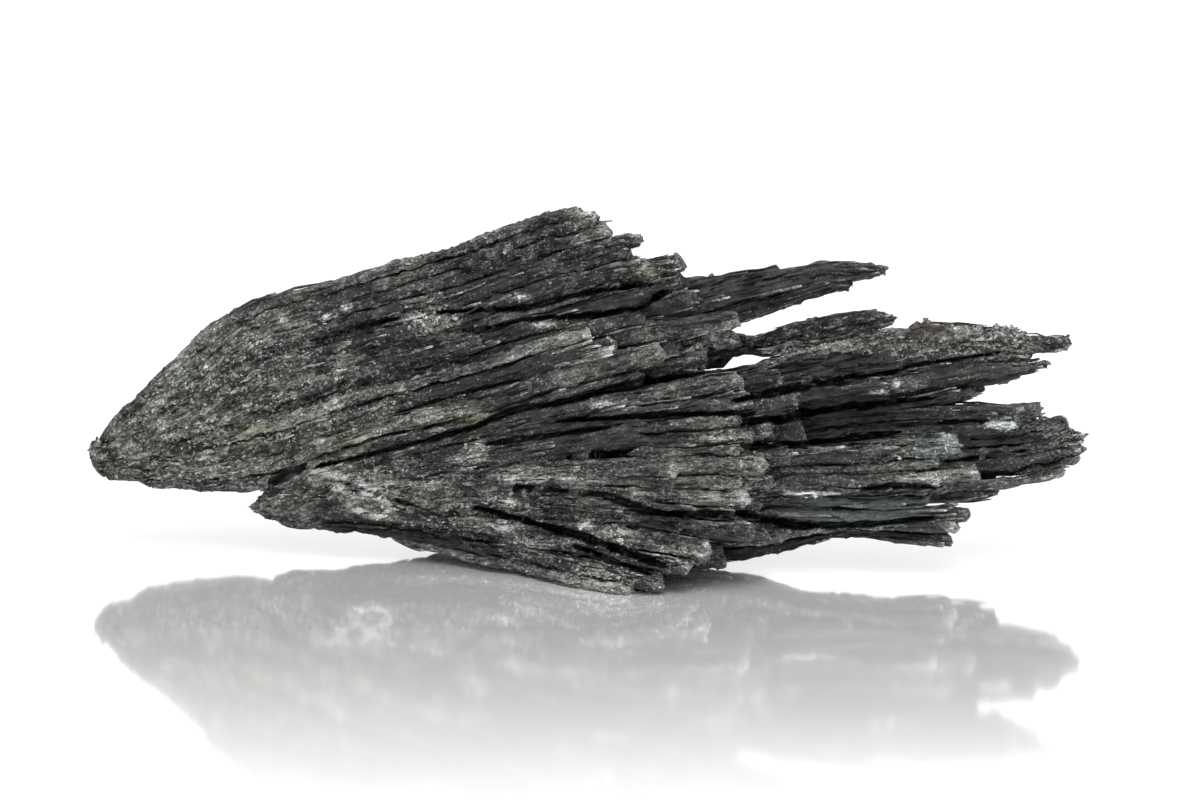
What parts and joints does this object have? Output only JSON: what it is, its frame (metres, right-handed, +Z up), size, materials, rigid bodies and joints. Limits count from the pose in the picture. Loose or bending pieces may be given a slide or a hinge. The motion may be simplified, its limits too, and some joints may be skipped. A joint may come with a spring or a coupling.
{
  "type": "black kyanite fan",
  "caption": "Natural fan of flat black crystal blades that spread from one end, grown together as a single loose specimen that rests on its lowest blades.",
  "frame": {"origin": "middle of the footprint's box, on the surface that the specimen rests on", "axes": "+X along the specimen, from its joined end towards the free ends of the blades; -Y is the side of its broad face; +Z up"},
  "size_m": [0.0814, 0.0199, 0.029],
  "materials": {
    "kyanite": "fibrous satin, charcoal with silvery flecks"
  },
  "bodies": {
    "root": {"kyanite_fan": "kyanite"}
  },
  "joints": []
}
